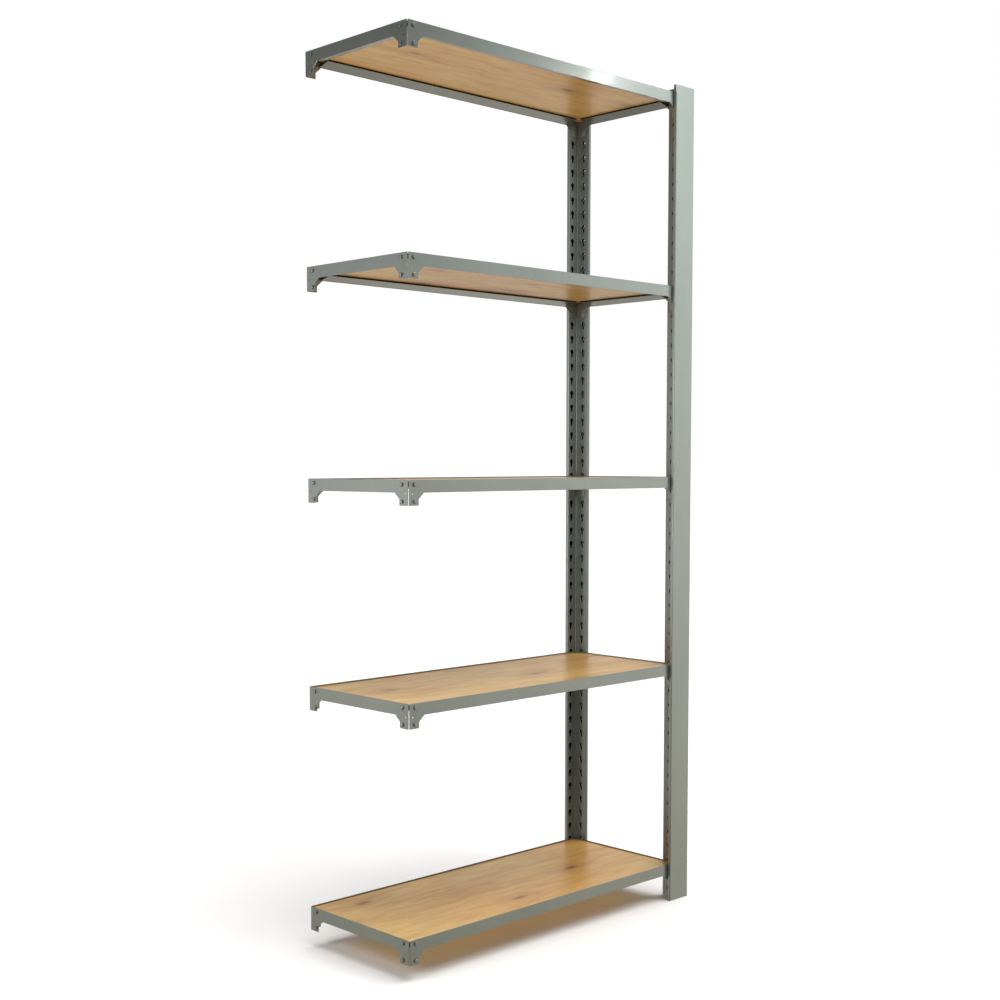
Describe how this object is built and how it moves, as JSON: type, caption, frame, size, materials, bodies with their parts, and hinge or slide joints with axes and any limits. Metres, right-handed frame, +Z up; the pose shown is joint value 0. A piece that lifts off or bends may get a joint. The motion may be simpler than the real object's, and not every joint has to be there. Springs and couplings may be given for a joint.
{
  "type": "shelving bay",
  "caption": "Add-on bay of boltless store shelving: perforated T-section posts at one end and lipped beams that hook into keyholes and carry loose boards.",
  "frame": {"origin": "centre of the footprint, on the floor", "axes": "+X to the right along the shelves towards the posts, +Y from the front to the back, +Z up"},
  "size_m": [1.0374, 0.4, 2.24],
  "materials": {
    "grey_paint": "satin light grey powder coat with a slight metallic sheen",
    "wood_board": "satin light oak decor on particle board"
  },
  "bodies": {
    "posts": {"front_post": "grey_paint", "rear_post": "grey_paint"},
    "shelf_1": {"shelf_1_front_beam": "grey_paint", "shelf_1_rear_beam": "grey_paint", "shelf_1_right_beam": "grey_paint", "shelf_1_left_beam": "grey_paint"},
    "board_1": {"shelf_1_board": "wood_board"},
    "shelf_2": {"shelf_2_front_beam": "grey_paint", "shelf_2_rear_beam": "grey_paint", "shelf_2_right_beam": "grey_paint", "shelf_2_left_beam": "grey_paint"},
    "board_2": {"shelf_2_board": "wood_board"},
    "shelf_3": {"shelf_3_front_beam": "grey_paint", "shelf_3_rear_beam": "grey_paint", "shelf_3_right_beam": "grey_paint", "shelf_3_left_beam": "grey_paint"},
    "board_3": {"shelf_3_board": "wood_board"},
    "shelf_4": {"shelf_4_front_beam": "grey_paint", "shelf_4_rear_beam": "grey_paint", "shelf_4_right_beam": "grey_paint", "shelf_4_left_beam": "grey_paint"},
    "board_4": {"shelf_4_board": "wood_board"},
    "shelf_5": {"shelf_5_front_beam": "grey_paint", "shelf_5_rear_beam": "grey_paint", "shelf_5_right_beam": "grey_paint", "shelf_5_left_beam": "grey_paint"},
    "board_5": {"shelf_5_board": "wood_board"}
  },
  "joints": [
    {"name": "shelf_1_unhook", "type": "slide", "parent": "posts", "child": "shelf_1", "axis": [0, 0, 1], "range_m": [0, 0.0125]},
    {"name": "board_1_lift", "type": "slide", "parent": "shelf_1", "child": "board_1", "axis": [0, 0, 1], "range_m": [0, 0.05]},
    {"name": "shelf_2_unhook", "type": "slide", "parent": "posts", "child": "shelf_2", "axis": [0, 0, 1], "range_m": [0, 0.0125]},
    {"name": "board_2_lift", "type": "slide", "parent": "shelf_2", "child": "board_2", "axis": [0, 0, 1], "range_m": [0, 0.05]},
    {"name": "shelf_3_unhook", "type": "slide", "parent": "posts", "child": "shelf_3", "axis": [0, 0, 1], "range_m": [0, 0.0125]},
    {"name": "board_3_lift", "type": "slide", "parent": "shelf_3", "child": "board_3", "axis": [0, 0, 1], "range_m": [0, 0.05]},
    {"name": "shelf_4_unhook", "type": "slide", "parent": "posts", "child": "shelf_4", "axis": [0, 0, 1], "range_m": [0, 0.0125]},
    {"name": "board_4_lift", "type": "slide", "parent": "shelf_4", "child": "board_4", "axis": [0, 0, 1], "range_m": [0, 0.05]},
    {"name": "shelf_5_unhook", "type": "slide", "parent": "posts", "child": "shelf_5", "axis": [0, 0, 1], "range_m": [0, 0.0125]},
    {"name": "board_5_lift", "type": "slide", "parent": "shelf_5", "child": "board_5", "axis": [0, 0, 1], "range_m": [0, 0.05]}
  ]
}
